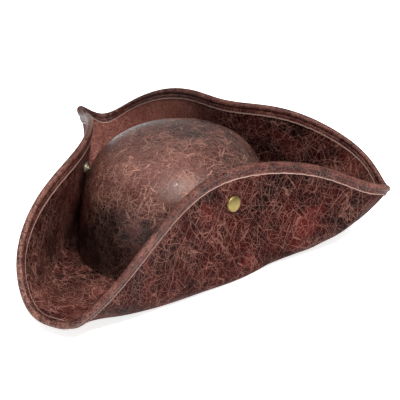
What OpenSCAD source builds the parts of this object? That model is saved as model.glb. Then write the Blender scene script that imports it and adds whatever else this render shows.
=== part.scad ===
// Pirate tricorn hat in distressed leather cloth.
// +X is the wearer's left, -Y the front, +Z up. The origin is the middle of the
// head opening, on the surface that the hat rests on.

/* [Crown] */
// Half width of the crown at its seam
crown_half_w = 90; // [87:1:94]
// Half length of the crown at its seam
crown_half_l = 100; // [97:1:104]
// Height of the crown above the brim
crown_h = 110; // [104:1:114]
// Squareness of the dome: 2 is an ellipse, larger is boxier
dome_power = 3.2; // [2.6:0.1:3.6]
// Share of its width that the crown loses towards the top
crown_taper = 0.04; // [0:0.01:0.08]
// How far the crown's foot flares out at the seam
foot_flare = 2; // [0:0.5:3]

/* [Brim] */
// Width of the flat ring of brim under the crown's foot
flat_ring = 5; // [4:0.5:6]
// How much higher the wearer's right corner stands than the left
right_corner_lift = 16; // [0:1:18]
// Thickness of each leather cloth cover
cover_t = 0.9; // [0.7:0.1:1.1]
// Thickness of the foam and felt between the brim's covers
brim_core_t = 2; // [1.6:0.1:2.2]

/* [Edge] */
// Width of the binding's legs, from the wire to the raw edge
binding_leg = 8; // [7:0.5:9]
// Diameter of the round bead that the binding makes over the wire
bead_d = 5.8; // [5.6:0.1:6.2]
// Diameter of the spring wire in the edge
wire_d = 1.6; // [1.2:0.1:1.8]
// Diameter of the sewing thread
thread_d = 0.7; // [0.5:0.1:0.9]

/* [Inside] */
// Thickness of the crown's felt stiffener
crown_core_t = 1.1; // [0.8:0.1:1.3]
// Thickness of the crown's lining
lining_t = 0.6; // [0.4:0.1:0.7]
// Height of the sweatband
sweatband_h = 28; // [20:1:32]
// Thickness of the sweatband
sweatband_t = 1.2; // [1:0.1:1.4]

/* [Press studs] */
// Diameter of the domed cap on the flap
cap_d = 15; // [14:0.5:18]
// Height of the domed cap
cap_h = 2.6; // [2:0.1:3]
// Diameter of the socket behind the flap
socket_d = 13; // [11:0.5:14]

/* [Hidden] */

leather = "#4a2723";
bead_leather = "#6b4a45";
felt = "#2b2624";
lining_cloth = "#1d1917";
band_cloth = "#241f1d";
thread = "#8a6a5c";
steel = "#9a9a9c";
brass = "#8c7b43";

// ---- shared measures ----
brim_t = 2 * cover_t + brim_core_t;
half_t = brim_t / 2;
crown_t = cover_t + crown_core_t + lining_t;
edge_fit = 0.4;                    // the head edge stands this far outside the crown's inner wall
head_edge = crown_t + edge_fit;    // inset of the brim's head edge from the crown's seam
core_end = 1.5;                    // the brim's layers stop this far inside the wire's centre
flap_depth = 0.4;                  // share of a flap's depth over which it runs straight to the rim
sectors = 48;                      // facets round the crown and the head opening
dome_rings = 10;
dome_spacing = 1.6;                // crowds the dome's rings towards its foot

// ---- rim of the brim ----
// Control rows of the rim from the middle of the front round the wearer's left
// side to the middle of the back. The right side mirrors them. Each row holds
// [seam angle, x, y, z, lean of the flap from level, reach of the flat part].
rim_half = [
    [0, 0, -205, 10, 0, 0.25],
    [24, 25, -210, 15, 40, 0.2],
    [44, 55, -185, 55, 80, 0.1],
    [68, 65, -130, 90, 80, 0.05],
    [84, 65, -60, 105, 90, 0.15],
    [90, 90, -5, 105, 95, 0.25],
    [94, 130, 50, 90, 90, 0.35],
    [104, 165, 85, 60, 80, 0.4],
    [112, 180, 100, 60, 45, 0.4],
    [122, 165, 125, 40, 65, 0.4],
    [136, 140, 140, 70, 80, 0.4],
    [150, 90, 125, 100, 90, 0.4],
    [164, 45, 115, 110, 95, 0.4],
    [180, 0, 95, 110, 95, 0.4]
];
corner_row = 8;
half_rows = len(rim_half);
rows = 2 * (half_rows - 1);
steps = 4;                         // stations between two control rows
stations = rows * steps;
turn = 360;

// The right corner stands higher, and its neighbours half as much.
function corner_share(k) = k == corner_row ? 1 : abs(k - corner_row) == 1 ? 0.5 : 0;

function mirrored(r, k) = [
    turn - r[0], -r[1], r[2], r[3] + right_corner_lift * corner_share(k), r[4], r[5]
];

function rim_row(k) =
    let (lap = floor(k / rows), i = k - lap * rows)
    let (r = i < half_rows ? rim_half[i] : mirrored(rim_half[rows - i], rows - i))
    [r[0] + turn * lap, r[1], r[2], r[3], r[4], r[5]];

// Uniform cubic B-spline through four rows, and its slope.
function spline(p, f) =
    (pow(1 - f, 3) * p[0] + (3 * pow(f, 3) - 6 * f * f + 4) * p[1]
    + (3 * f + 3 * f * f - 3 * pow(f, 3) + 1) * p[2] + pow(f, 3) * p[3]) / 6;
function spline_slope(p, f) =
    (-pow(1 - f, 2) * p[0] + (3 * f * f - 4 * f) * p[1]
    + (1 + 2 * f - 3 * f * f) * p[2] + f * f * p[3]) / 2;

function four_rows(k) = [for (i = [-1:2]) rim_row(k + i)];
function unit(v) = v / norm(v);
function xyz(row) = [row[1], row[2], row[3]];

// One station of the rim: [rim point, along the rim, across it outwards, up from
// the sheet, seam angle, reach].
function station(t) =
    let (k = floor(t), r = spline(four_rows(k), t - k))
    let (along = unit(xyz(spline_slope(four_rows(k), t - k))))
    let (plan = unit([along[1], -along[0], 0]))
    let (across = plan * cos(r[4]) + [0, 0, sin(r[4])])
    [xyz(r), along, across, unit(cross(across, along)), r[0], r[5]];

function oval(angle, grow, z) = [
    (crown_half_w + grow) * sin(angle), -(crown_half_l + grow) * cos(angle), z
];
function oval_out(angle) = unit([
    (crown_half_l + flat_ring) * sin(angle), -(crown_half_w + flat_ring) * cos(angle), 0
]);

// Middle surface of the brim on one station, v from 0 at the flat ring to 1 at the rim.
function flap_point(s, v) =
    let (base = oval(s[4], flat_ring, half_t), depth = norm(s[0] - base))
    let (bend = base + oval_out(s[4]) * depth * s[5])
    let (straight = s[0] - s[2] * depth * flap_depth)
    let (kept = [straight[0], straight[1], max(straight[2], half_t)])
    pow(1 - v, 3) * base + 3 * pow(1 - v, 2) * v * bend
    + 3 * (1 - v) * v * v * kept + pow(v, 3) * s[0];

flap_v = [0.15, 0.31, 0.48, 0.68, 0.89];
flat_cols = 2;                     // columns in the flat ring
leg_col = flat_cols + len(flap_v);
end_col = leg_col + 1;
cols = end_col + 1;

function middle_line(s) = concat(
    [oval(s[4], -head_edge, half_t), oval(s[4], flat_ring, half_t)],
    [for (v = flap_v) flap_point(s, v)],
    [s[0] - s[2] * binding_leg, s[0] - s[2] * core_end]
);

rim = [for (j = [0:stations - 1]) station(j / steps)];
middle = [for (s = rim) middle_line(s)];
function ahead(j) = (j + 1) % stations;
function behind(j) = (j + stations - 1) % stations;

function sheet_normal(j, i) =
    i < flat_cols ? [0, 0, 1]
    : i >= leg_col ? rim[j][3]
    : unit(cross(middle[j][i + 1] - middle[j][i - 1], middle[ahead(j)][i] - middle[behind(j)][i]));
normals = [for (j = [0:stations - 1]) [for (i = [0:cols - 1]) sheet_normal(j, i)]];

function sheet_point(j, i, up) = middle[j][i] + normals[j][i] * up;
function bead_point(j, r, angle) =
    rim[j][0] + rim[j][2] * r * cos(angle) + rim[j][3] * r * sin(angle);

// Closed sweep round the brim of one loop of points per station. From the loop
// edge `flip` on, the quads are cut along their other diagonal, so that two
// skins that face each other share their triangles.
module ring_sweep(loops, flip) {
    n = len(loops);
    m = len(loops[0]);
    faces = [
        for (j = [0:n - 1], i = [0:m - 1])
            let (a = j * m + i, b = j * m + (i + 1) % m)
            let (c = (j + 1) % n * m + (i + 1) % m, d = (j + 1) % n * m + i)
            each i < flip ? [[a, c, b], [a, d, c]] : [[a, d, b], [b, d, c]]
    ];
    polyhedron(points = [for (l = loops) each l], faces = faces);
}

// One layer of the brim between two heights over its middle surface.
module brim_layer(low, high) {
    ring_sweep([
        for (j = [0:stations - 1]) concat(
            [for (i = [0:cols - 1]) sheet_point(j, i, high)],
            [for (i = [cols - 1:-1:0]) sheet_point(j, i, low)]
        )
    ], cols);
}

// ---- crown ----
crown_z = brim_t;
flare_end = 8;                     // the foot's flare dies out over 1/8 of the height
function dome_share(k) = 90 * pow(k / dome_rings, dome_spacing);
function flare_at(share) = foot_flare * pow(max(0, 1 - flare_end * share), 2);

function dome_point(k, angle, inset) =
    let (out = pow(max(cos(dome_share(k)), 0), 2 / dome_power))
    let (rise = pow(sin(dome_share(k)), 2 / dome_power))
    let (size = out * (1 - crown_taper * rise), foot = flare_at(rise))
    [
        ((crown_half_w - inset) * size + foot) * sin(angle),
        -((crown_half_l - inset) * size + foot) * cos(angle),
        crown_z + (crown_h - inset) * rise
    ];

// One layer of the moulded crown between two insets from its outside.
module crown_layer(outer, inner) {
    rings = dome_rings;
    count = rings * sectors;
    angles = [for (j = [0:sectors - 1]) turn * j / sectors];
    outside = [for (k = [0:rings - 1], a = angles) dome_point(k, a, outer)];
    inside = [for (k = [0:rings - 1], a = angles) dome_point(k, a, inner)];
    apex = 2 * count;
    faces = [
        for (j = [0:sectors - 1])
            let (e = (j + 1) % sectors)
            let (top = (rings - 1) * sectors)
            each concat(
                [for (k = [0:rings - 2]) each
                    let (a = k * sectors + j, b = k * sectors + e)
                    let (c = b + sectors, d = a + sectors)
                    [
                        [a, c, b], [a, d, c],
                        [a + count, b + count, c + count], [a + count, c + count, d + count]
                    ]
                ],
                [[top + j, apex, top + e], [top + j + count, top + e + count, apex + 1]],
                [[j, e, e + count], [j, e + count, j + count]]
            )
    ];
    points = concat(outside, inside, [dome_point(rings, 0, outer), dome_point(rings, 0, inner)]);
    polyhedron(points = points, faces = faces);
}

// ---- press studs ----
// The stud sits where the flap leans closest to the crown.
snap_station = 17.5;
snap_col = 5;
seat_gap = 0.2;                    // fittings stand this far off the soft layers
shank_r = 1.8;
hole_r = 2.1;
socket_base_t = 0.8;
socket_t = 2.3;
recess_r = 3.3;
rolled_r = 2.7;
rolled_t = 0.3;
head_r = 2.9;
flange_r = 4.5;
flange_t = 0.6;
tilt_room = 0.9;                   // the crown leans this much across a flange
post_r = 1.2;
search_reach = 20;                 // the crown's outside is looked for this far from the flap
halvings = 20;
overcut = 1;
fitting_sides = 48;
hole_sides = 8;

function quad_middle(j, i) =
    (middle[j][i] + middle[j][i + 1] + middle[j + 1][i] + middle[j + 1][i + 1]) / 4;
snap_j = floor(snap_station);
snap_at = quad_middle(snap_j, snap_col);
snap_in = unit(cross(
    middle[snap_j][snap_col + 1] - middle[snap_j + 1][snap_col],
    middle[snap_j + 1][snap_col + 1] - middle[snap_j][snap_col]
));

// Over 1 outside the crown, under 1 inside it.
function crown_level(p) =
    let (rise = max(0, (p[2] - crown_z) / crown_h), size = 1 - crown_taper * rise)
    let (out = norm([p[0] / crown_half_w, p[1] / crown_half_l]) / size)
    pow(out, dome_power) + pow(rise, dome_power);
// Distance from the flap's middle surface to the crown's outside.
function crown_distance(near, far, rounds) =
    let (mid = (near + far) / 2)
    rounds == 0 ? mid
    : crown_level(snap_at + snap_in * mid) > 1 ? crown_distance(mid, far, rounds - 1)
    : crown_distance(near, mid, rounds - 1);
snap_gap = crown_distance(half_t, search_reach, halvings);

stud_base = snap_gap - tilt_room;
stud_top = half_t + seat_gap + socket_base_t + rolled_t + seat_gap;
washer_at = snap_gap + crown_t + tilt_room;

// Puts its children on the press stud's axis, Z towards the crown, z = 0 on the
// flap's middle surface. side is 1 for the wearer's left and -1 for the right.
module on_snap(side) {
    lean = acos(snap_in[2]);
    heading = atan2(snap_in[1], snap_in[0]);
    mirror([side < 0 ? 1 : 0, 0, 0])
        translate(snap_at)
            rotate([0, lean, heading])
                children();
}

module snap_holes(from, to) {
    for (side = [-1, 1])
        on_snap(side)
            translate([0, 0, from])
                cylinder(h = to - from, r = hole_r, $fn = hole_sides);
}

module disc(r, from, to) {
    translate([0, 0, from])
        cylinder(h = to - from, r = r, $fn = fitting_sides);
}

module snap_cap(side) {
    seat = half_t + seat_gap;
    rim_t = 0.6;
    dome_r = (pow(cap_d / 2, 2) + pow(cap_h - rim_t, 2)) / (2 * (cap_h - rim_t));
    color(brass)
        on_snap(side)
            union() {
                disc(cap_d / 2, -seat - rim_t, -seat);
                intersection() {
                    translate([0, 0, dome_r - seat - cap_h])
                        sphere(r = dome_r, $fn = 2 * fitting_sides);
                    disc(cap_d / 2, -seat - cap_h, -seat - rim_t / 2);
                }
                disc(shank_r, -seat - rim_t / 2, seat + socket_base_t + rolled_t);
                disc(rolled_r, seat + socket_base_t, seat + socket_base_t + rolled_t);
            }
}

module snap_socket(side) {
    seat = half_t + seat_gap;
    color(brass)
        on_snap(side)
            difference() {
                disc(socket_d / 2, seat, seat + socket_t);
                disc(shank_r, seat - overcut, seat + socket_t);
                disc(recess_r, seat + socket_base_t, seat + socket_t + overcut);
            }
}

module snap_stud(side) {
    color(brass)
        on_snap(side)
            union() {
                disc(flange_r, stud_base - flange_t, stud_base);
                disc(head_r, stud_top, stud_base);
            }
}

module snap_post(side) {
    color(brass)
        on_snap(side)
            union() {
                disc(post_r, stud_base, washer_at + flange_t);
                disc(flange_r, washer_at, washer_at + flange_t);
            }
}

// ---- crown parts ----
module crown_cover() {
    color(leather)
        difference() {
            crown_layer(0, cover_t);
            snap_holes(half_t, washer_at);
        }
}

module crown_interlining() {
    color(felt)
        difference() {
            crown_layer(cover_t, cover_t + crown_core_t);
            snap_holes(half_t, washer_at);
        }
}

module crown_lining() {
    color(lining_cloth)
        difference() {
            crown_layer(cover_t + crown_core_t, crown_t);
            snap_holes(half_t, washer_at);
        }
}

// ---- brim parts ----
module brim_upper_cover() {
    color(leather)
        difference() {
            brim_layer(half_t - cover_t, half_t);
            snap_holes(-half_t - seat_gap, half_t + seat_gap);
        }
}

module brim_interlining() {
    color(felt)
        difference() {
            brim_layer(cover_t - half_t, half_t - cover_t);
            snap_holes(-half_t - seat_gap, half_t + seat_gap);
        }
}

module brim_lower_cover() {
    color(leather)
        difference() {
            brim_layer(-half_t, cover_t - half_t);
            snap_holes(-half_t - seat_gap, half_t + seat_gap);
        }
}

// Strip of leather cloth folded over the wire, with a leg on each face of the brim.
module edge_binding() {
    outer = half_t + cover_t;
    bead_r = bead_d / 2;
    cavity_r = wire_d / 2 + 1.2;
    corner = 45;
    color(bead_leather)
        ring_sweep([
            for (j = [0:stations - 1]) [
                sheet_point(j, leg_col, outer),
                sheet_point(j, end_col, outer),
                bead_point(j, bead_r, corner),
                bead_point(j, bead_r, 0),
                bead_point(j, bead_r, -corner),
                sheet_point(j, end_col, -outer),
                sheet_point(j, leg_col, -outer),
                sheet_point(j, leg_col, -half_t),
                sheet_point(j, end_col, -half_t),
                bead_point(j, cavity_r, -corner),
                bead_point(j, cavity_r, corner),
                sheet_point(j, end_col, half_t),
                sheet_point(j, leg_col, half_t)
            ]
        ], 9);
}

// A thread that runs round the hem on one face of the brim.
module hem_thread(face) {
    stitch_line = 0.2;             // share of the leg between the raw edge and the thread
    rest = half_t + cover_t + 0.1;
    color(thread)
        ring_sweep([
            for (j = [0:stations - 1])
                let (low = sheet_point(j, leg_col, face * rest))
                let (run = sheet_point(j, end_col, face * rest) - low)
                let (at = low + run * stitch_line)
                let (up = normals[j][leg_col] * face * thread_d, wide = unit(run) * thread_d / 2)
                face > 0 ? [at - wide, at + up, at + wide] : [at + wide, at + up, at - wide]
        ], 3);
}

module rim_wire() {
    sides = 6;
    color(steel)
        ring_sweep([
            for (j = [0:stations - 1])
                [for (i = [0:sides - 1]) bead_point(j, wire_d / 2, -turn * i / sides)]
        ], sides);
}

// Tube that joins the two ends of the wire, at the middle of the back.
module wire_ferrule() {
    first = stations / 2;
    from = rim[first][0];
    to = rim[first + 1][0];
    way = unit(to - from);
    length = 8;
    bore_r = wire_d / 2 + 0.1;
    wall = 0.3;
    color(steel)
        translate((from + to) / 2)
            rotate([0, acos(way[2]), atan2(way[1], way[0])])
                difference() {
                    cylinder(h = length, r = bore_r + wall, center = true, $fn = fitting_sides);
                    cylinder(h = length + 1, r = bore_r, center = true, $fn = fitting_sides);
                }
}

// ---- head opening ----
module oval_ring(outer, inner, from, to) {
    angles = [for (j = [0:2 * sectors - 1]) turn * j / (2 * sectors)];
    translate([0, 0, from])
        linear_extrude(height = to - from)
            difference() {
                polygon([for (a = angles) [oval(a, -outer, 0)[0], oval(a, -outer, 0)[1]]]);
                polygon([for (a = angles) [oval(a, -inner, 0)[0], oval(a, -inner, 0)[1]]]);
            }
}

tape_t = 0.5;
tape_inset = head_edge + 0.1;
tape_h = 12;
band_foot = 0.5;                   // the sweatband starts this far above the table
thread_rise = 4;

module seam_tape() {
    color(band_cloth)
        oval_ring(tape_inset, tape_inset + tape_t, band_foot, tape_h);
}

module sweatband() {
    inset = tape_inset + tape_t;
    color(band_cloth)
        oval_ring(inset, inset + sweatband_t, band_foot, band_foot + sweatband_h);
}

module sweatband_thread() {
    inset = tape_inset + tape_t + sweatband_t;
    color(thread)
        oval_ring(inset, inset + thread_d, thread_rise, thread_rise + thread_d);
}

crown_cover();
crown_interlining();
crown_lining();
brim_upper_cover();
brim_interlining();
brim_lower_cover();
edge_binding();
hem_thread(1);  // hem_top_thread
hem_thread(-1);  // hem_under_thread
rim_wire();
wire_ferrule();
seam_tape();
sweatband();
sweatband_thread();
snap_cap(1);  // snap_cap_left
snap_socket(1);  // snap_socket_left
snap_stud(1);  // snap_stud_left
snap_post(1);  // snap_post_left
snap_cap(-1);  // snap_cap_right
snap_socket(-1);  // snap_socket_right
snap_stud(-1);  // snap_stud_right
snap_post(-1);  // snap_post_right
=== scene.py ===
"""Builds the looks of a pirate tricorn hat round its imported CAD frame.

Everything is in metres in the CAD frame: +X is the wearer's left, -Y the front,
+Z up, and the origin is the middle of the head opening.
"""

import math

import bmesh
import bpy
import numpy as np
from bpy.props import FloatProperty, FloatVectorProperty, IntProperty
from mathutils import Matrix, Vector


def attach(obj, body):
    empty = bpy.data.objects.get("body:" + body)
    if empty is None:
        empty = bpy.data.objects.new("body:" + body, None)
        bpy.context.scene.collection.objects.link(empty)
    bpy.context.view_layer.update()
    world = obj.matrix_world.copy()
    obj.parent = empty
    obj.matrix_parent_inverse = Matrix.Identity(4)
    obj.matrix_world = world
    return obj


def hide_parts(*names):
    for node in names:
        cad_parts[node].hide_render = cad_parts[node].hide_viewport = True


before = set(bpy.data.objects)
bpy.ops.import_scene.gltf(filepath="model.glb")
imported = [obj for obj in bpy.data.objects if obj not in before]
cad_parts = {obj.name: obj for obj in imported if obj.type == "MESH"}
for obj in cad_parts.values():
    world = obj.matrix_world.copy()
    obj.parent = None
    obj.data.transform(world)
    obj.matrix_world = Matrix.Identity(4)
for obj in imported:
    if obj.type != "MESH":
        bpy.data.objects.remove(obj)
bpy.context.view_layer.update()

bl_info = {
    "name": "Pirate tricorn hat",
    "version": (1, 0, 0),
    "blender": (4, 5, 0),
    "location": "3D View > Sidebar > Hat",
    "description": "Models a leather cloth tricorn with a wired brim and press studs",
    "category": "Object",
}

MM = 0.001

# Control rows of the brim's rim from the middle of the front round the wearer's
# left side to the middle of the back, in millimetres and degrees. Each row holds
# seam angle, x, y, z, lean of the flap from level, reach of the flat part.
RIM_HALF = (
    (0, 0, -205, 10, 0, 0.25),
    (24, 25, -210, 15, 40, 0.2),
    (44, 55, -185, 55, 80, 0.1),
    (68, 65, -130, 90, 80, 0.05),
    (84, 65, -60, 105, 90, 0.15),
    (90, 90, -5, 105, 95, 0.25),
    (94, 130, 50, 90, 90, 0.35),
    (104, 165, 85, 60, 80, 0.4),
    (112, 180, 100, 60, 45, 0.4),
    (122, 165, 125, 40, 65, 0.4),
    (136, 140, 140, 70, 80, 0.4),
    (150, 90, 125, 100, 90, 0.4),
    (164, 45, 115, 110, 95, 0.4),
    (180, 0, 95, 110, 95, 0.4),
)
CORNER_ROW = 8
ROWS = 2 * (len(RIM_HALF) - 1)
FLAP_DEPTH = 0.4        # share of a flap's depth over which it runs straight to the rim
CORE_END = 1.5 * MM     # the brim's layers stop this far inside the wire
HEAD_EDGE = 3.0 * MM    # inset of the brim's head edge from the crown's seam
STUD_T = 17.5 / 4       # where the press stud sits along the control rows
STUD_V = (0.68, 0.89)   # and between which depths of the flap
BRIM_COLUMNS = 46       # faces across one layer of the brim
LEG_COLUMNS = 40        # faces across the binding
CROWN_GRID = (208, 64)  # faces round the crown and from its foot to its top
RING_GRID = (208, 8)    # faces round and across the sweatband and the tape
STITCH_BLOCK = 40       # stitches made in one go

# Cracks: how far the wall of a cell reaches where it has all but faded, and where
# it is open, as shares of a cell. Long creases are cells drawn out this many times.
NET_FADED, CREASE_FADED, CREASE_OPEN = 0.006, 0.008, 0.027
DRAWN_OUT = 6.0

# The stage, in metres.
KEY_AT, KEY_AIM, KEY_SIZE = (0.66, -0.42, 1.13), (0.03, -0.03, 0.06), (0.7, 0.15)
CAMERA_AT, CAMERA_AIM = (0.6348, -1.0699, 0.6280), (0.0626, -0.0622, 0.0844)
FLOOR_HALF, FLOOR_DROP = 20.0, 0.5 * MM

# Soft patches that make the cloth pale or dark, as (x, y, z, radius,
# amount) in millimetres: partly spots that handling has worn pale or left dark,
# partly painted light on the faces that the lamps reach and painted shade on
# those turned from them. One list for each face of the brim and one for the crown.
INNER_PATCHES = (
    # Painted light on the lit inner face of the back flap.
    (-100, 115, 70, 60, 1.15),
    (-150, 90, 60, 40, 0.4),
    (-50, 110, 90, 35, 0.35),
    (0, 105, 60, 60, -0.15),
    # Painted shade on the back flap's inner face that is turned from the light.
    (70, 120, 60, 55, -0.35),
    (-20, -130, 4, 50, 0.22),
    (-37, -175, 20, 35, 0.12),
    (-65, -110, 60, 50, -0.35),
    (-60, -70, 85, 30, 0.1),
    (130, 125, 60, 40, 0.3),
)
OUTER_PATCHES = (
    (60, -150, 60, 60, 0.12),
    (75, -100, 50, 50, 0.08),
    (120, 20, 50, 55, 0.12),
    (60, -180, 15, 40, -0.1),
    (-152, 70, 65, 50, 0.45),
    (90, 0, 95, 40, -0.1),
)
CROWN_PATCHES = (
    # Painted highlight on the crown's front shoulder.
    (35, -60, 98, 45, 1.0),
    (0, -20, 114, 60, 0.05),
    (-30, -70, 90, 40, 0.85),
    (-75, -25, 80, 40, 0.35),
    # Painted shade round the crown's foot, in this row and the next two.
    (0, -100, 35, 60, -0.7),
    (85, 0, 30, 70, -0.4),
    (-60, -70, 30, 55, -0.5),
)


# ---------------------------------------------------------------- properties

def length(name, description, default):
    """A length in metres for the sidebar."""
    return FloatProperty(
        name=name, description=description, default=default, subtype="DISTANCE", unit="LENGTH"
    )


def colour(name, description, default):
    """A colour for the sidebar."""
    return FloatVectorProperty(
        name=name, description=description, default=default, subtype="COLOR", size=3, min=0, max=1
    )


class HatSizes(bpy.types.PropertyGroup):
    """The sizes of the hat that a user would change."""

    crown_half_w: length("Crown half width", "Half width of the crown at its seam", 0.090)
    crown_half_l: length("Crown half length", "Half length of the crown at its seam", 0.100)
    crown_h: length("Crown height", "Height of the crown above the brim", 0.110)
    dome_power: FloatProperty(
        name="Dome squareness", description="2 is an ellipse, larger is boxier", default=3.2
    )
    crown_taper: FloatProperty(
        name="Crown taper", description="Share of its width that the crown loses", default=0.04
    )
    foot_flare: length("Foot flare", "How far the crown's foot flares out", 0.002)
    flat_ring: length("Flat ring", "Width of the flat brim under the crown's foot", 0.005)
    corner_lift: length("Corner lift", "How much higher the right corner stands", 0.016)
    cover_t: length("Cover", "Thickness of the leather cloth", 0.0009)
    brim_core_t: length("Brim core", "Thickness of the felt in the brim", 0.002)
    crown_core_t: length("Crown core", "Thickness of the felt in the crown", 0.0011)
    lining_t: length("Lining", "Thickness of the crown's lining", 0.0006)
    binding_leg: length("Binding leg", "From the wire to the binding's raw edge", 0.008)
    bead_d: length("Bead", "Diameter of the bead over the wire", 0.0058)
    sag: length("Undulation", "Height of the soft waves in the flaps", 0.0007)
    stitch_pitch: length("Stitch pitch", "From one stitch to the next", 0.003)
    stitch_len: length("Stitch", "Length of one stitch", 0.0023)
    thread_d: length("Thread", "Diameter of the sewing thread", 0.0007)
    sweatband_h: length("Sweatband height", "Height of the sweatband", 0.028)
    sweatband_t: length("Sweatband", "Thickness of the sweatband", 0.0012)
    cap_d: length("Cap", "Diameter of the press stud's cap", 0.015)
    cap_h: length("Cap height", "Height of the domed cap", 0.0026)
    around: IntProperty(
        name="Grid around", description="Faces round one sheet", default=416,
        min=104, max=832,
    )


class HatColours(bpy.types.PropertyGroup):
    """The colours of the hat's finishes."""

    leather_dark: colour("Dark leather", "Deepest tone of the cloth", (0.0040, 0.0011, 0.0010))
    leather_red: colour("Oxblood", "Middle tone of the cloth", (0.024, 0.0026, 0.0023))
    flush: colour("Red flush", "Patches where the red dye shows", (0.066, 0.009, 0.008))
    # Worn leather is also the pale tone of the cloth's painted light.
    leather_worn: colour("Worn leather", "Tone where the finish is rubbed", (0.195, 0.070, 0.054))
    crackle: colour("Crackle", "Fine cracks in the finish", (0.23, 0.106, 0.086))
    crackle_warm: colour("Warm crackle", "Cracks on the crown", (0.31, 0.158, 0.118))
    bead: colour("Bead", "Rubbed top of the binding's bead", (0.25, 0.125, 0.098))
    # The pale cut edge, partly its own colour and partly a painted highlight where the edge catches
    # the light.
    raw_edge_and_highlight: colour("Raw edge", "Cut edge of the binding", (0.42, 0.27, 0.235))
    thread: colour("Thread", "Sewing thread", (0.16, 0.085, 0.065))
    felt: colour("Felt", "Felt between the covers", (0.020, 0.016, 0.014))
    lining: colour("Lining", "Woven lining", (0.014, 0.011, 0.010))
    band: colour("Sweatband", "Ribbed band", (0.020, 0.015, 0.013))
    brass: colour("Brass", "Antique brass", (0.22, 0.175, 0.068))
    aged_brass: colour("Aged brass", "Fittings behind the flaps", (0.24, 0.215, 0.155))
    steel: colour("Steel", "Drawn spring wire", (0.50, 0.50, 0.51))


# ------------------------------------------------------------------- surfaces

def smooth(low, high, x):
    """0 below low, 1 above high, eased between them."""
    s = np.clip((x - low) / (high - low), 0, 1)
    return s * s * (3 - 2 * s)


def unit(v):
    """Each row of v at a length of 1."""
    return v / np.linalg.norm(v, axis=-1, keepdims=True)


def rim_table(lift):
    """All control rows round the brim. The right side mirrors the left, with its corner raised."""
    left = [list(row) for row in RIM_HALF]
    right = []
    for k in range(len(RIM_HALF) - 2, 0, -1):
        angle, x, y, z, lean, reach = RIM_HALF[k]
        share = {0: 1.0, 1: 0.5}.get(abs(k - CORNER_ROW), 0.0)
        right.append([360 - angle, -x, y, z + lift / MM * share, lean, reach])
    table = np.array(left + right, float)
    table[:, 1:4] *= MM
    return table


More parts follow.
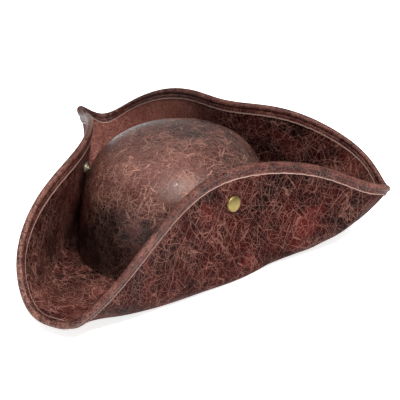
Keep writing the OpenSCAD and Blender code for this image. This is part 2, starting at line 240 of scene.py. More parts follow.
class Brim:
    """The brim's middle surface: t runs round the control rows and c across the
    sheet, from 0 at the head edge over 1 at the flat ring's end and 2 on the flap
    to 3 beside the wire."""

    FLAP_END = 0.88
    LEG = 2.2

    def __init__(self, sizes):
        self.s = sizes
        self.table = rim_table(sizes.corner_lift)
        self.half_t = sizes.cover_t + sizes.brim_core_t / 2
        corners = self.stud_grid()
        self.stud_at = sum(corners) / 4
        p, q, r, s = corners
        self.stud_in = unit(np.cross(q - r, s - p))

    def row(self, k):
        lap = np.floor_divide(k, ROWS)
        rows = self.table[k - lap * ROWS].copy()
        rows[:, 0] += 360 * lap
        return rows

    def station(self, t):
        """Rim point, direction across the flap outwards, up from it, seam angle, reach."""
        k = np.floor(t).astype(int)
        f = (t - k)[:, None]
        a, b, c, d = (self.row(k + i) for i in (-1, 0, 1, 2))
        r = ((1 - f) ** 3 * a + (3 * f**3 - 6 * f * f + 4) * b
             + (3 * f + 3 * f * f - 3 * f**3 + 1) * c + f**3 * d) / 6
        slope = (-((1 - f) ** 2) * a + (3 * f * f - 4 * f) * b
                 + (1 + 2 * f - 3 * f * f) * c + f * f * d) / 2
        along = unit(slope[:, 1:4])
        plan = unit(np.stack([along[:, 1], -along[:, 0], 0 * along[:, 0]], 1))
        lean = np.radians(r[:, 4:5])
        across = plan * np.cos(lean) + np.array([0, 0, 1.0]) * np.sin(lean)
        return r[:, 1:4], across, unit(np.cross(across, along)), np.radians(r[:, 0]), r[:, 5:6]

    def oval(self, angle, grow, z):
        w, h = self.s.crown_half_w + grow, self.s.crown_half_l + grow
        return np.stack([w * np.sin(angle), -h * np.cos(angle), z + 0 * angle], 1)

    def flap(self, station, v):
        """A point on the flap, v from 0 at the flat ring to 1 at the rim."""
        rim, across, up, angle, reach = station
        ring = self.s.flat_ring
        base = self.oval(angle, ring, self.half_t)
        out = unit(np.stack([(self.s.crown_half_l + ring) * np.sin(angle),
                             -(self.s.crown_half_w + ring) * np.cos(angle), 0 * angle], 1))
        depth = np.linalg.norm(rim - base, axis=1, keepdims=True)
        bend = base + out * depth * reach
        kept = rim - across * depth * FLAP_DEPTH
        kept[:, 2] = np.maximum(kept[:, 2], self.half_t)
        v = v[:, None]
        return ((1 - v) ** 3 * base + 3 * (1 - v) ** 2 * v * bend
                + 3 * (1 - v) * v * v * kept + v**3 * rim)

    def stud_grid(self):
        """The four points round the press stud."""
        t = np.array([np.floor(STUD_T * 4), np.floor(STUD_T * 4) + 1]) / 4
        near, far = (self.flap(self.station(t), np.full(2, v)) for v in STUD_V)
        return near[0], far[0], near[1], far[1]

    def middle(self, t, c):
        """Middle surface, before its soft waves."""
        station = self.station(t)
        rim, across, up, angle, reach = station
        ring_share = np.clip(c, 0, 1)
        grow = -HEAD_EDGE + ring_share * (self.s.flat_ring + HEAD_EDGE)
        ring = self.oval(angle, grow, self.half_t)
        v = np.clip(c - 1, 0, 1) * self.FLAP_END
        flap = self.flap(station, v)
        left = np.linalg.norm(rim - flap, axis=1, keepdims=True)
        leg = self.s.binding_leg
        straight = rim - across * left
        pull = 1 - smooth(leg + 1 * MM, leg + 12 * MM, left)
        flap = flap + (straight - flap) * pull
        leg_at = rim - across * leg
        to_leg = np.clip((c - 2) / (self.LEG - 2), 0, 1)[:, None]
        down = np.clip((c - self.LEG) / (3 - self.LEG), 0, 1)[:, None]
        edge = flap + (leg_at - flap) * to_leg + across * (leg - CORE_END) * down
        return np.where((c < 1)[:, None], ring, edge)

    def waves(self, p, t, c):
        """Soft waves of a flap that is held by its wire, none at its edges and studs."""
        free = smooth(1.1, 1.5, c) * (1 - smooth(1.7, 2.0, c))
        side = np.abs(p[:, 0])
        mirrored = np.stack([side, p[:, 1], p[:, 2]], 1)
        free = free * smooth(15 * MM, 40 * MM, np.linalg.norm(mirrored - self.stud_at, axis=1))
        beat = np.sin(t * 2.9 + c * 4.0) + 0.7 * np.sin(t * 5.3 - c * 6.1 + 1.0)
        return self.s.sag * free * (beat + 0.6 * np.sin(t * 8.7 + c * 9.0 + 2.0)) / 1.5

    def point(self, t, c, height):
        """Point at a height over the middle surface."""
        step = 0.004
        here = self.middle(t, c)
        across = self.middle(t, np.minimum(c + step, 3)) - self.middle(t, np.maximum(c - step, 0))
        along = self.middle(t + step, c) - self.middle(t - step, c)
        normal = unit(np.cross(across, along))
        up = self.station(t)[2]
        flat = (1 - smooth(0.9, 1.15, c))[:, None]
        normal = unit(normal + (np.array([0, 0, 1.0]) - normal) * flat)
        leg = smooth(1.9, self.LEG, c)[:, None]
        normal = unit(normal + (up - normal) * leg)
        return here + normal * (height + self.waves(here, t, c))[:, None]

    def edge_point(self, t, a, b):
        """Point a beyond the wire and b over it, in the flap's own directions."""
        rim, across, up, angle, reach = self.station(t)
        return rim + across * a[:, None] + up * b[:, None]


def crown_point(s, around, share, inset):
    """Point of the crown: share from 0 at its foot to 1 at its top."""
    angle = 2 * np.pi * around
    climb = np.pi / 2 * share
    out, rise = np.maximum(np.cos(climb), 0), np.sin(climb)
    whole = (out**s.dome_power + rise**s.dome_power) ** (1 / s.dome_power)
    out, rise = out / whole, rise / whole
    size = out * (1 - s.crown_taper * rise)
    foot = s.foot_flare * np.maximum(0, 1 - 8 * rise) ** 2
    brim_t = 2 * s.cover_t + s.brim_core_t
    return np.stack([
        ((s.crown_half_w - inset) * size + foot) * np.sin(angle),
        -((s.crown_half_l - inset) * size + foot) * np.cos(angle),
        brim_t + (s.crown_h - inset) * rise,
    ], 1)


# ---------------------------------------------------------------- mesh helpers

def grid_sheet(name, around, across, place, outer, inner, uv_size):
    """A thin closed sheet that runs round the hat. place(u, v, level) gives its
    points, with u from 0 to 1 round it and v from 0 to 1 across it."""
    bm = bmesh.new()
    u_layer = bm.verts.layers.float.new("u")
    v_layer = bm.verts.layers.float.new("v")
    uv_layer = bm.loops.layers.uv.new("UVMap")
    bmesh.ops.create_grid(bm, x_segments=around, y_segments=across, size=0.5)
    for vert in bm.verts:
        vert[u_layer], vert[v_layer] = vert.co.x + 0.5, vert.co.y + 0.5
    for face in bm.faces:
        for loop in face.loops:
            loop[uv_layer].uv = (loop.vert[u_layer] * uv_size[0], loop.vert[v_layer] * uv_size[1])
    top = bm.verts[:]
    skin = bmesh.ops.extrude_face_region(bm, geom=bm.faces[:])["geom"]
    skin = [g for g in skin if isinstance(g, bmesh.types.BMVert)]
    for verts, level in ((top, outer), (skin, inner)):
        u = np.array([v[u_layer] for v in verts])
        w = np.array([v[v_layer] for v in verts])
        for vert, p in zip(verts, place(u, w, level)):
            vert.co = p
    bmesh.ops.remove_doubles(bm, verts=bm.verts, dist=1e-6)
    return bm


def drop_inner_seam(bm):
    """Takes away the walls left inside the sheet where the grid's two ends meet."""
    u_layer = bm.verts.layers.float.get("u")
    if u_layer is None:
        return
    ends = {v for v in bm.verts if min(v[u_layer], 1 - v[u_layer]) < 1e-6}
    inside = [f for f in bm.faces if all(v in ends for v in f.verts)]
    bmesh.ops.delete(bm, geom=inside, context="FACES_ONLY")
    loose = [e for e in bm.edges if not e.link_faces]
    bmesh.ops.delete(bm, geom=loose, context="EDGES")


def finish_piece(bm, name, material, replaces, sharp=50):
    """Writes the mesh to an object at the origin that rides on the hat."""
    bm.verts.index_update()
    drop_inner_seam(bm)
    bmesh.ops.recalc_face_normals(bm, faces=bm.faces)
    mesh = bpy.data.meshes.new(name)
    bm.to_mesh(mesh)
    bm.free()
    mesh.shade_smooth()
    mesh.set_sharp_from_angle(angle=math.radians(sharp))
    piece = bpy.data.objects.new(name + "_detail", mesh)
    bpy.context.scene.collection.objects.link(piece)
    mesh.materials.append(material)
    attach(piece, "root")
    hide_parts(*replaces)
    return piece


def set_wear_and_light(piece, patches, floor=0.0):
    """Writes how rubbed each point is, with painted light and shade mixed in, from -1 dark to 1 pale.
    """
    mesh = piece.data
    co = np.empty(len(mesh.vertices) * 3)
    mesh.vertices.foreach_get("co", co)
    co = co.reshape(-1, 3)
    wear = np.full(len(co), floor)
    for x, y, z, radius, amount in patches:
        far = np.linalg.norm(co - np.array([x, y, z]) * MM, axis=1) / (radius * MM)
        wear += amount * np.exp(-far * far)
    layer = mesh.attributes.new("wear", "FLOAT", "POINT")
    layer.data.foreach_set("value", wear)


# -------------------------------------------------------------------- materials

class Finish:
    """Builds one procedural material on the piece's own Object coordinates."""

    def __init__(self, name):
        self.material = bpy.data.materials.new(name)
        self.material.use_nodes = True
        self.tree = self.material.node_tree
        self.skin = self.tree.nodes["Principled BSDF"]
        place = self.tree.nodes.new("ShaderNodeTexCoord")
        self.place = place.outputs["Object"]
        self.uv = place.outputs["UV"]

    def node(self, kind, out, feeds, **settings):
        made = self.tree.nodes.new(kind)
        for key, value in settings.items():
            setattr(made, key, value)
        for key, value in feeds.items():
            self.feed(made.inputs[key], value)
        return made.outputs[out]

    def feed(self, socket, value):
        if isinstance(value, bpy.types.NodeSocket):
            self.tree.links.new(value, socket)
        else:
            socket.default_value = value

    def noise(self, place, scale, detail=3.0, rough=0.5, out=0):
        return self.node("ShaderNodeTexNoise", out, {
            "Vector": place, "Scale": scale, "Detail": detail, "Roughness": rough})

    def cells(self, place, scale, feature="DISTANCE_TO_EDGE", out="Distance"):
        return self.node("ShaderNodeTexVoronoi", out, {"Vector": place, "Scale": scale},
                         feature=feature)

    def math(self, operation, a, b=0.0, clamp=False):
        return self.node("ShaderNodeMath", 0, {0: a, 1: b}, operation=operation, use_clamp=clamp)

    def span(self, value, low, high, to_low=0.0, to_high=1.0):
        return self.node("ShaderNodeMapRange", 0, {
            "Value": value, "From Min": low, "From Max": high, "To Min": to_low,
            "To Max": to_high}, interpolation_type="SMOOTHSTEP")

    def mix(self, share, a, b):
        a, b = (x if isinstance(x, bpy.types.NodeSocket) else (*x, 1) for x in (a, b))
        return self.node("ShaderNodeMix", 2, {0: share, 6: a, 7: b}, data_type="RGBA",
                         clamp_factor=True)

    def warp(self, place, scale, amount, detail=2.0):
        """The place, pushed about by a noise, so that lines wander."""
        push = self.noise(place, scale, detail, out="Color")
        push = self.node("ShaderNodeVectorMath", 0, {0: push, 1: (0.5, 0.5, 0.5)},
                         operation="SUBTRACT")
        return self.node("ShaderNodeVectorMath", 0, {0: push, 1: (amount,) * 3, 2: place},
                         operation="MULTIPLY_ADD")

    def stretch(self, place, turn, scale):
        """The place, turned and then drawn out along its new axes."""
        return self.node("ShaderNodeMapping", 0, {
            "Vector": place, "Rotation": [math.radians(a) for a in turn], "Scale": scale},
            vector_type="TEXTURE")

    def attribute(self, name):
        return self.node("ShaderNodeAttribute", "Fac", {}, attribute_name=name)

    def bump(self, height, distance, strength=1.0):
        normal = self.node("ShaderNodeBump", 0, {
            "Strength": strength, "Distance": distance, "Height": height})
        self.feed(self.skin.inputs["Normal"], normal)

    def surface(self, colour=None, roughness=None, metallic=0.0, specular=0.5):
        if colour is not None:
            self.feed(self.skin.inputs["Base Color"], colour)
        if roughness is not None:
            self.feed(self.skin.inputs["Roughness"], roughness)
        self.skin.inputs["Metallic"].default_value = metallic
        self.skin.inputs["Specular IOR Level"].default_value = specular
        return self.material


def net(f, size, wander, push, scale, patch, thick, low=0.44, high=0.66):
    """A net of cracks: cell walls that thin out and vanish in places."""
    cells = f.cells(f.warp(f.place, wander * size, push / size, 4.0), scale * size)
    width = f.span(f.noise(f.place, patch, 3.0), low, high, NET_FADED, thick)
    return f.span(f.math("DIVIDE", cells, width), 0.3, 1.0, 1.0, 0.0)


def creases(f, size, turn, scale, patch, shown):
    """Long fine creases: walls of drawn-out cells, broken up in patches."""
    run = f.stretch(f.warp(f.place, 45.0, 0.006, 2.0), turn, (1.0, 1.0, DRAWN_OUT))
    width = f.span(f.noise(f.place, patch, 3.0), *shown, CREASE_FADED, CREASE_OPEN)
    cells = f.cells(run, scale * size)
    return f.span(f.math("DIVIDE", cells, width), 0.3, 1.0, 1.0, 0.0)


def strongest(f, *values):
    """The largest of some values at each point."""
    most = values[0]
    for value in values[1:]:
        most = f.math("MAXIMUM", most, value)
    return most


def crackle_lines(f, size):
    """Fine and coarse nets of cracks, and long creases, each 0 to 1. A larger size
    draws them closer together."""
    fine = net(f, size, 140.0, 0.003, 190.0, 45.0, 0.046)
    coarse = net(f, size, 70.0, 0.006, 90.0, 55.0, 0.028)
    long = strongest(
        f,
        creases(f, size, (-32, 0, -24), 95.0, 42.0, (0.44, 0.66)),
        creases(f, size, (40, 0, -28), 100.0, 50.0, (0.45, 0.67)),
        creases(f, size, (12, 0, 10), 90.0, 46.0, (0.46, 0.68)),
        creases(f, size, (76, 0, -42), 95.0, 54.0, (0.45, 0.67)),
        creases(f, size, (74, 0, 62), 100.0, 48.0, (0.44, 0.66)),
    )
    return coarse, fine, long


def leather(name, c, crack, size, gain, rub_and_light_gain, shine, gloss):
    """Distressed leather cloth: mottled dark finish, worn patches that also carry painted light and
    shade, pale cracks, fine grain.
    """
    f = Finish(name)
    wear = f.attribute("wear")
    broad = f.noise(f.place, 20.0, 4.0, 0.55)
    mottle = f.noise(f.place, 85.0, 5.0, 0.62)
    speck = f.noise(f.place, 620.0, 4.0, 0.7)
    both = f.math("ADD", f.math("MULTIPLY", broad, 0.65), f.math("MULTIPLY", mottle, 0.35))
    # The patches bring worn spots and painted light and shade: they lift or sink the tone between
    # dark and oxblood, pale it towards the worn tone and strengthen the cracks.
    red = f.math("ADD", f.span(both, 0.38, 0.62), f.math("MULTIPLY", wear, 0.8), clamp=True)
    tone = f.mix(red, c.leather_dark, c.leather_red)
    rub_and_light = f.math("ADD", wear, f.span(mottle, 0.46, 0.78, -0.08, 0.25))
    rub_and_light = f.math("MULTIPLY", rub_and_light, rub_and_light_gain)
    rub_and_light = f.math("MULTIPLY", rub_and_light, f.span(speck, 0.32, 0.62, 0.25, 1.25), clamp=True)
    tone = f.mix(rub_and_light, tone, c.leather_worn)
    flush = f.span(f.noise(f.place, 26.0, 3.0, 0.5), 0.55, 0.68, 0.0, 0.7)
    tone = f.mix(f.math("MULTIPLY", flush, f.span(speck, 0.3, 0.6)), tone, c.flush)
    coarse, fine, long = crackle_lines(f, size)
    lines = strongest(f, f.math("MULTIPLY", coarse, 0.90), f.math("MULTIPLY", fine, 0.60), long)
    worn = f.math("ADD", f.math("MULTIPLY", wear, 0.45), 0.75)
    lines = f.math("MULTIPLY", lines, f.math("MULTIPLY", worn, gain))
    lines = f.math("MULTIPLY", lines, f.span(speck, 0.30, 0.56, 0.35, 1.0), clamp=True)
    tone = f.mix(lines, tone, crack)
    grain = f.cells(f.place, 1100.0, "F1")
    height = f.math("ADD", f.math("MULTIPLY", grain, 0.35), f.math("MULTIPLY", lines, -0.6))
    height = f.math("ADD", height, f.math("MULTIPLY", mottle, 0.9))
    f.bump(height, 0.0006, 0.65)
    rough = f.math("ADD", f.span(mottle, 0.3, 0.7, shine - 0.05, shine + 0.10),
                   f.math("MULTIPLY", lines, 0.2))
    return f.surface(tone, rough, specular=gloss)


def binding_leather(name, c):
    """The same cloth folded hard over the wire: rubbed pale on the bead, with painted shade in the
    hollow at the bead's foot and a pale cut edge that is partly its own colour and partly a painted
    highlight.
    """
    f = Finish(name)
    rubbed = f.attribute("rubbed")
    raw = f.attribute("raw")
    groove = f.attribute("groove")
    mottle = f.noise(f.place, 90.0, 5.0, 0.6)
    tick = f.noise(f.stretch(f.uv, (0, 0, 0), (1.0, 4.0, 1.0)), 420.0, 3.0, 0.6)
    tone = f.mix(f.span(mottle, 0.28, 0.56), c.leather_dark, c.leather_red)
    coarse, fine, long = crackle_lines(f, 1.4)
    worn = f.mix(f.span(mottle, 0.40, 0.66, 0.0, 0.06), tone, c.leather_worn)
    tone = f.mix(f.math("MULTIPLY", strongest(f, coarse, fine, long), 0.45), worn, c.crackle)
    both = f.math("ADD", mottle, f.math("MULTIPLY", tick, 0.8))
    speck = f.span(f.noise(f.place, 520.0, 4.0, 0.7), 0.42, 0.60, 0.10, 1.0)
    pale = f.math("MULTIPLY", rubbed, f.math("MULTIPLY", speck, f.span(both, 0.70, 1.0, 0.2, 1.1)))
    tone = f.mix(f.math("MULTIPLY", pale, 0.75, clamp=True), tone, c.bead)
    # Painted shade in the hollow between the bead and the leg.
    dark = tuple(0.5 * x for x in c.leather_dark)
    tone = f.mix(f.math("MULTIPLY", groove, 0.7), tone, dark)
    # The pale cut edge, partly its own colour and partly a painted highlight.
    fray_and_highlight = f.math("MULTIPLY", raw, f.span(tick, 0.34, 0.60, 0.65, 1.0))
    tone = f.mix(f.math("MULTIPLY", fray_and_highlight, 0.95), tone, c.raw_edge_and_highlight)
    grain = f.cells(f.place, 1100.0, "F1")
    height = f.math("ADD", f.math("MULTIPLY", grain, 0.3), f.math("MULTIPLY", tick, 1.3))
    f.bump(height, 0.0007, 0.6)
    return f.surface(tone, f.span(mottle, 0.3, 0.7, 0.40, 0.54), specular=0.14)


def woven(name, base, pitch, ribbed=False):
    """Matte cloth with a weave, or with ribs across a band."""
    f = Finish(name)
    turn = 2 * math.pi / pitch
    parts = f.node("ShaderNodeSeparateXYZ", 0, {"Vector": f.uv})
    u, v = parts, parts.node.outputs[1]
    across = f.math("SINE", f.math("MULTIPLY", u, turn))
    along = f.math("SINE", f.math("MULTIPLY", v, turn * (0.4 if ribbed else 1.0)))
    height = across if ribbed else f.math("MULTIPLY", across, along)
    fuzz = f.noise(f.place, 900.0, 4.0, 0.7)
    light = tuple(min(1.0, 2.2 * x) for x in base)
    share = f.math("ADD", f.math("MULTIPLY", height, 0.22), f.math("MULTIPLY", fuzz, 0.6), clamp=True)
    f.bump(f.math("ADD", height, f.math("MULTIPLY", fuzz, 0.8)), 0.0002, 0.7)
    return f.surface(f.mix(share, base, light), 0.9, specular=0.2)


def felted(name, base):
    """Matte pressed felt."""
    f = Finish(name)
    fuzz = f.noise(f.place, 700.0, 6.0, 0.75)
    cloud = f.noise(f.place, 90.0, 3.0)
    light = tuple(min(1.0, 2.4 * x) for x in base)
    f.bump(fuzz, 0.0005, 0.8)
    return f.surface(f.mix(f.math("MULTIPLY", fuzz, cloud), base, light), 0.95, specular=0.1)


def twisted(name, base):
    """Sewing thread, with its ply as fine light and dark."""
    f = Finish(name)
    ply = f.noise(f.place, 1500.0, 3.0, 0.6)
    dark = tuple(0.35 * x for x in base)
    f.bump(ply, 0.0002, 0.8)
    return f.surface(f.mix(f.span(ply, 0.35, 0.6), dark, base), 0.7, specular=0.3)


def metal(name, base, tarnish, rough):
    """Antique metal: tarnished in patches, with fine scratches."""
    f = Finish(name)
    cloud = f.noise(f.place, 260.0, 4.0, 0.6)
    fine = f.noise(f.stretch(f.place, (10, 20, 30), (1.0, 0.16, 1.0)), 900.0, 3.0, 0.6)
    share = f.span(cloud, 0.35, 0.68, 0.1, 0.5)
    f.bump(fine, 0.0001, 0.35)
    roughness = f.math("ADD", f.span(fine, 0.3, 0.7, rough, rough + 0.14),
                       f.math("MULTIPLY", share, 0.12))
    return f.surface(f.mix(share, base, tarnish), roughness, metallic=1.0)


def made(build, name, *settings):
    """A finish by name, built the first time it is asked for."""
    name += "_finish"
    return bpy.data.materials.get(name) or build(name, *settings)


def sizes():
    return bpy.context.scene.hat_sizes


def colours():
    return bpy.context.scene.hat_colours


class Tones:
    """The colours as plain tuples."""

    def __init__(self):
        for key in HatColours.__annotations__:
            setattr(self, key, tuple(getattr(colours(), key)))


def cloth_finish(face):
    """The leather cloth on one part of the hat, as it has worn, with the copy for the outer faces
    kept darker, partly as painted shade.
    """
    c = Tones()
    crack, size, gain, rub_and_light_gain, shine, gloss = {
        "inner": (c.crackle, 1.25, 1.1, 0.95, 0.46, 0.05),
        "outer": (c.crackle, 1.1, 0.74, 0.15, 0.50, 0.02),
        "crown": (c.crackle_warm, 1.65, 0.92, 0.38, 0.28, 0.32),
    }[face]
    return made(leather, "leather_" + face, c, crack, size, gain, rub_and_light_gain, shine, gloss)


# -------------------------------------------------------------------- the pieces

def brim_columns(v):
    """Crowds the grid's columns so that the sheet's stops fall on them."""
    return np.interp(v, [0, 0.1, 0.84, 0.87, 1], [0, 1, 2, Brim.LEG, 3])


def brim_layer(name, outer, inner, material):
    brim = Brim(sizes())
    place = lambda u, v, level: brim.point(u * ROWS, brim_columns(v), level)
    bm = grid_sheet(name, sizes().around, BRIM_COLUMNS, place, outer, inner, (1.25, 0.13))
    return finish_piece(bm, name, material, [name])


class HAT_OT_brim(bpy.types.Operator):
    """Make the brim: two leather cloth covers with felt between them"""

    bl_idname = "hat.brim"
    bl_label = "Brim"

    def execute(self, context):
        s = sizes()
        core, top = s.brim_core_t / 2, s.brim_core_t / 2 + s.cover_t
        upper = brim_layer("brim_upper_cover", top, core, cloth_finish("inner"))
        lower = brim_layer("brim_lower_cover", -core, -top, cloth_finish("outer"))
        felt = made(felted, "felt", Tones().felt)
        middle = brim_layer("brim_interlining", core, -core, felt)
        # The patches put worn spots and painted light and shade on the covers; the floor of -0.18 on
        # the outer cover darkens its whole face, partly as painted shade.
        set_wear_and_light(upper, INNER_PATCHES)
        set_wear_and_light(lower, OUTER_PATCHES, -0.18)
        return {"FINISHED"}


class HAT_OT_binding(bpy.types.Operator):
    """Make the binding that is folded over the wire in the rim"""

    bl_idname = "hat.binding"
    bl_label = "Edge binding"

    def execute(self, context):
        s = sizes()
        brim = Brim(s)
        half, leg = brim.half_t, s.binding_leg
        pinch = 0.45 * MM
        stops = [0, 0.30, 0.70, 1]

        def place(u, v, level):
            """level is 1 on the outside of the strip and 0 on the side sewn down."""
            t = u * ROWS
            side = np.minimum(v, 1 - v)
            gap = half + s.cover_t * level
            start = math.atan2(gap, -CORE_END)
            angle = np.interp(v, stops, [start, start, -start, -start])
            bead = s.bead_d / 2 - s.cover_t * (1 - level)
            near = smooth(0.0, 0.45, np.abs(angle) / start - 0.55)
            radius = bead + (math.hypot(gap, CORE_END) - bead) * near
            a, b = radius * np.cos(angle), radius * np.sin(angle)
            down = np.interp(v, stops, [leg - CORE_END, 0, 0, leg - CORE_END])
            frayed = 0.12 * MM * (np.sin(t * 23) + np.sin(t * 37 + 1.3))
            a = a - down - frayed * (1 - smooth(0.0, 0.2, side))
            dip = np.exp(-((a + 3.0 * MM) / (0.9 * MM)) ** 2)
            sewn = np.exp(-((a + leg - 1.5 * MM) / (0.6 * MM)) ** 2)
            press = pinch * level * (dip + 0.6 * sewn)
            return brim.edge_point(t, a, b - np.sign(b) * press)

        bm = grid_sheet("edge_binding", 2 * s.around, LEG_COLUMNS, place, 1, 0, (1.253, 0.026))
        rubbed = bm.verts.layers.float.new("rubbed")
        raw = bm.verts.layers.float.new("raw")
        groove = bm.verts.layers.float.new("groove")
        u_layer, v_layer = (bm.verts.layers.float[key] for key in ("u", "v"))
        for vert in bm.verts:
            side = min(vert[v_layer], 1 - vert[v_layer])
            t = vert[u_layer] * ROWS
            front = math.exp(-((t - 25.0) / 3.2) ** 2) + math.exp(-((t + 1.0) / 2.0) ** 2)
            patch = 0.25 + 0.75 * min(1.0, front)
            vert[rubbed] = patch * min(1.0, max(0.0, (side - 0.30) / 0.10))
            # Mask for the pale cut edge, partly its own colour and partly a painted highlight.
            vert[raw] = min(1.0, max(0.0, 1.6 - side / 0.032))
            # Mask for the painted shade in the hollow at the bead's foot.
            vert[groove] = math.exp(-((side - 0.255) / 0.020) ** 2)
        material = made(binding_leather, "bound_edge", Tones())
        piece = finish_piece(bm, "edge_binding", material, ["edge_binding"])
        return {"FINISHED"}


def add_stitch(bm, at, along, up, length, thick):
    """One short stitch, a little slanted, pressed into the cloth at its ends."""
    side = up.cross(along).normalized()
    slant = (along + side * 0.12).normalized()
    side = up.cross(slant).normalized()
    turn = Matrix((slant * length / 2, side * thick / 2, up * thick / 2)).transposed().to_4x4()
    bmesh.ops.create_uvsphere(
        bm, u_segments=6, v_segments=5, radius=1,
        matrix=Matrix.Translation(at) @ turn @ Matrix.Rotation(math.pi / 2, 4, "Y"),
    )


def stitch_row(name, line, ups, pitch, material):
    """Stitches at an even pitch on a closed line of points."""
    s = sizes()
    gone = np.concatenate([[0], np.cumsum(np.linalg.norm(np.diff(line, axis=0), axis=1))])
    count = round(gone[-1] / pitch)
    row = bmesh.new()
    for first in range(0, count, STITCH_BLOCK):
        bm = bmesh.new()
        for k in range(first, min(first + STITCH_BLOCK, count)):
            where = gone[-1] * (k + 0.5) / count
            at, ahead, up = (
                Vector([float(np.interp(w, gone, col)) for col in rows.T])
                for w, rows in ((where, line), (where + pitch / 2, line), (where, ups))
            )
            add_stitch(bm, at, (ahead - at).normalized(), up.normalized(), s.stitch_len,
                       s.thread_d)
        block = bpy.data.meshes.new("block")
        bm.to_mesh(block)
        bm.free()
        row.from_mesh(block)
        bpy.data.meshes.remove(block)
    return finish_piece(row, name, material, [name], sharp=180)


class HAT_OT_stitches(bpy.types.Operator):
    """Sew the binding's legs down on both faces of the brim, and the sweatband"""

    bl_idname = "hat.stitches"
    bl_label = "Stitches"

    def execute(self, context):
        s = sizes()
        brim = Brim(s)
        thread = made(twisted, "thread", Tones().thread)
        t = np.linspace(0, ROWS, 2601)
        inset = s.binding_leg - 1.5 * MM
        top = brim.half_t + s.cover_t + 0.1 * MM
        up = brim.station(t)[2]
        for name, face in (("hem_top_thread", 1), ("hem_under_thread", -1)):
            line = brim.edge_point(t, -inset + 0 * t, face * top + 0 * t)
            stitch_row(name, line, up * face, s.stitch_pitch, thread)
        angle = np.linspace(0, 2 * np.pi, 721)
        grow = -(HEAD_EDGE + 0.6 * MM + s.sweatband_t + 0.15 * MM)
        line = brim.oval(angle, grow, 4.3 * MM)
        inward = -unit(line * np.array([1, 1, 0.0]))
        stitch_row("sweatband_thread", line, inward, s.stitch_pitch, thread)
        return {"FINISHED"}


class HAT_OT_crown(bpy.types.Operator):
    """Make the moulded crown: leather cloth, felt and lining"""

    bl_idname = "hat.crown"
    bl_label = "Crown"

    def execute(self, context):
        s = sizes()
        c = Tones()
        felt_from = s.cover_t
        lining_from = s.cover_t + s.crown_core_t
        end = lining_from + s.lining_t
        felt = made(felted, "felt", c.felt)
        lining = made(woven, "lining", c.lining, 1.1 * MM)
        cover = cloth_finish("crown")
        layers = (
            ("crown_cover", 0, felt_from, cover, "leather_cloth"),
            ("crown_interlining", felt_from, lining_from, felt, "felt"),
            ("crown_lining", lining_from, end, lining, "lining_cloth"),
        )
        for name, outer, inner, material, slot in layers:
            place = lambda u, v, level: crown_point(s, u, v, level)
            bm = grid_sheet(name, *CROWN_GRID, place, outer, inner, (0.60, 0.16))
            piece = finish_piece(bm, name, material, [name])
            # The crown's patches hold its painted highlight and painted shade as well as worn spots.
            set_wear_and_light(piece, CROWN_PATCHES)
        return {"FINISHED"}


class HAT_OT_inside(bpy.types.Operator):
    """Make the sweatband and the tape over the crown's seam"""

    bl_idname = "hat.inside"
    bl_label = "Sweatband and tape"

    def execute(self, context):
        s = sizes()
        c = Tones()
        brim = Brim(s)
        ribbed = made(woven, "ribbed", c.band, 1.6 * MM, True)
        tape_from = HEAD_EDGE + 0.1 * MM
        band_from = tape_from + 0.5 * MM
        rings = (
            ("seam_tape", tape_from, band_from, 0.5 * MM, 12 * MM),
            ("sweatband", band_from, band_from + s.sweatband_t, 0.5 * MM,
             0.5 * MM + s.sweatband_h),
        )
        for name, outer, inner, low, high in rings:
            def place(u, v, level):
                ring = brim.oval(2 * np.pi * u, -level, 0.0)
                ring[:, 2] = low + (high - low) * v
                return ring
            bm = grid_sheet(name, *RING_GRID, place, outer, inner, (0.57, high - low))
            piece = finish_piece(bm, name, ribbed, [name])
        return {"FINISHED"}


def snap_place(brim, side):
    """Puts a piece on the press stud's axis, Z towards the crown."""
    z = Vector(brim.stud_in)
    x = z.orthogonal().normalized()
    y = z.cross(x)
    turn = Matrix((x, y, z)).transposed().to_4x4()
    mirror = Matrix.Diagonal((side, 1, 1, 1))
    return mirror @ Matrix.Translation(Vector(brim.stud_at)) @ turn


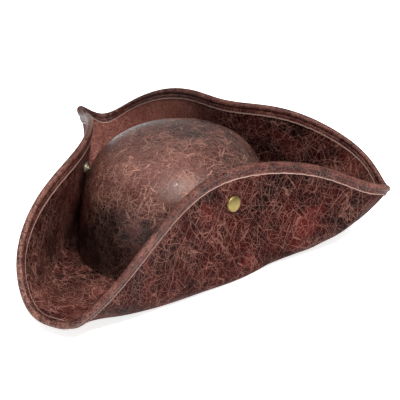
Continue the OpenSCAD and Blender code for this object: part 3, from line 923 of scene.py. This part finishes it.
class HAT_OT_studs(bpy.types.Operator):
    """Spin the domed brass caps and finish the press studs behind them"""

    bl_idname = "hat.studs"
    bl_label = "Press studs"

    def execute(self, context):
        s = sizes()
        c = Tones()
        brass = made(metal, "brass", c.brass, (0.17, 0.125, 0.04), 0.34)
        aged = made(metal, "aged_brass", c.aged_brass, (0.06, 0.05, 0.035), 0.32)
        steel = made(metal, "steel", c.steel, (0.25, 0.24, 0.23), 0.28)
        brim = Brim(s)
        seat = brim.half_t + 0.2 * MM
        cap_r, shank_r = s.cap_d / 2, 1.8 * MM
        climb = np.linspace(0, math.pi / 2, 11)
        dome = [(math.sin(a) * (cap_r - 0.5 * MM), math.cos(a)) for a in climb]
        flat = 0.9 * MM
        outline = [(r, -seat - flat - (s.cap_h - flat) * h) for r, h in dome]
        outline += [(cap_r - 0.12 * MM, -seat - 0.8 * MM), (cap_r, -seat - 0.5 * MM),
                    (cap_r - 0.1 * MM, -seat - 0.15 * MM), (cap_r - 0.45 * MM, -seat)]
        rolled = seat + 0.8 * MM
        outline += [(shank_r, -seat), (shank_r, rolled), (2.5 * MM, rolled),
                    (2.7 * MM, rolled + 0.15 * MM), (2.5 * MM, rolled + 0.3 * MM),
                    (0, rolled + 0.3 * MM)]
        for side, name in ((1, "snap_cap_left"), (-1, "snap_cap_right")):
            bm = bmesh.new()
            verts = [bm.verts.new((r, 0, z)) for r, z in outline]
            edges = [bm.edges.new(pair) for pair in zip(verts, verts[1:])]
            bmesh.ops.spin(bm, geom=verts + edges, cent=(0, 0, 0), axis=(0, 0, 1),
                           angle=2 * math.pi, steps=64, use_merge=True)
            bmesh.ops.remove_doubles(bm, verts=bm.verts, dist=1e-6)
            bmesh.ops.transform(bm, matrix=snap_place(brim, side), verts=bm.verts)
            finish_piece(bm, name, brass, [name], sharp=40)
            for part in ("socket", "stud", "post"):
                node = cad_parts[name.replace("cap", part)]
                node.data.materials.clear()
                node.data.materials.append(aged)
        for name in ("rim_wire", "wire_ferrule"):
            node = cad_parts[name]
            node.data.materials.clear()
            node.data.materials.append(steel)
        return {"FINISHED"}


# -------------------------------------------------------------------- the stage

def area_light(name, at, target, size, power, tint):
    """A soft rectangular light that faces its target."""
    data = bpy.data.lights.new(name, "AREA")
    data.shape = "RECTANGLE"
    data.size, data.size_y = size
    data.energy = power
    data.color = tint
    lamp = bpy.data.objects.new(name, data)
    bpy.context.scene.collection.objects.link(lamp)
    lamp.location = at
    lamp.rotation_euler = (Vector(target) - Vector(at)).to_track_quat("-Z", "Y").to_euler()


class HAT_OT_stage(bpy.types.Operator):
    """Set the pale floor, the soft studio light and the camera"""

    bl_idname = "hat.stage"
    bl_label = "Stage"

    def execute(self, context):
        scene = context.scene
        bm = bmesh.new()
        bmesh.ops.create_grid(bm, x_segments=1, y_segments=1, size=FLOOR_HALF)
        bmesh.ops.translate(bm, vec=(0, 0, -FLOOR_DROP), verts=bm.verts)
        mesh = bpy.data.meshes.new("studio_floor")
        bm.to_mesh(mesh)
        bm.free()
        floor = bpy.data.objects.new("studio_floor", mesh)
        scene.collection.objects.link(floor)
        paper = bpy.data.materials.new("pale_paper")
        paper.use_nodes = True
        skin = paper.node_tree.nodes["Principled BSDF"]
        skin.inputs["Base Color"].default_value = (0.93, 0.93, 0.93, 1)
        skin.inputs["Roughness"].default_value = 0.9
        skin.inputs["Specular IOR Level"].default_value = 0.1
        skin.inputs["Emission Color"].default_value = (1, 1, 1, 1)
        skin.inputs["Emission Strength"].default_value = 0.80
        mesh.materials.append(paper)

        world = bpy.data.worlds.new("studio")
        world.use_nodes = True
        sky = world.node_tree.nodes["Background"]
        sky.inputs["Color"].default_value = (1, 1, 1, 1)
        sky.inputs["Strength"].default_value = 0.33
        scene.world = world
        sun = bpy.data.lights.new("top_light", "SUN")
        sun.energy = 1.5
        sun.angle = math.radians(65)
        lamp = bpy.data.objects.new("top_light", sun)
        scene.collection.objects.link(lamp)
        lamp.rotation_euler = Vector((0.05, 0.05, -1)).to_track_quat("-Z", "Y").to_euler()
        area_light("key_softbox", KEY_AT, KEY_AIM, KEY_SIZE, 29, (1.0, 0.95, 0.90))
        scene.view_settings.view_transform = "Standard"

        data = bpy.data.cameras.new("camera")
        data.sensor_width = 36
        data.lens = 128.8
        camera = bpy.data.objects.new("camera", data)
        scene.collection.objects.link(camera)
        camera.location = CAMERA_AT
        aim = Vector(CAMERA_AIM) - camera.location
        camera.rotation_euler = aim.to_track_quat("-Z", "Y").to_euler()
        scene.camera = camera
        return {"FINISHED"}


STEPS = (HAT_OT_stage, HAT_OT_brim, HAT_OT_binding, HAT_OT_stitches, HAT_OT_crown,
         HAT_OT_inside, HAT_OT_studs)


class HAT_PT_panel(bpy.types.Panel):
    """Lists the hat's pieces in the sidebar"""

    bl_idname = "HAT_PT_panel"
    bl_label = "Pirate tricorn hat"
    bl_space_type = "VIEW_3D"
    bl_region_type = "UI"
    bl_category = "Hat"

    def draw(self, context):
        for group in (context.scene.hat_sizes, context.scene.hat_colours):
            box = self.layout.box()
            for key in group.__annotations__:
                box.prop(group, key)
        for step in STEPS:
            self.layout.operator(step.bl_idname)


CLASSES = (HatSizes, HatColours, *STEPS, HAT_PT_panel)


def register():
    for cls in CLASSES:
        bpy.utils.register_class(cls)
    bpy.types.Scene.hat_sizes = bpy.props.PointerProperty(type=HatSizes)
    bpy.types.Scene.hat_colours = bpy.props.PointerProperty(type=HatColours)


def unregister():
    del bpy.types.Scene.hat_colours
    del bpy.types.Scene.hat_sizes
    for cls in reversed(CLASSES):
        bpy.utils.unregister_class(cls)


def main():
    """Makes the whole hat."""
    register()
    for step in STEPS:
        group, name = step.bl_idname.split(".")
        getattr(getattr(bpy.ops, group), name)()


if __name__ == "__main__":
    main()
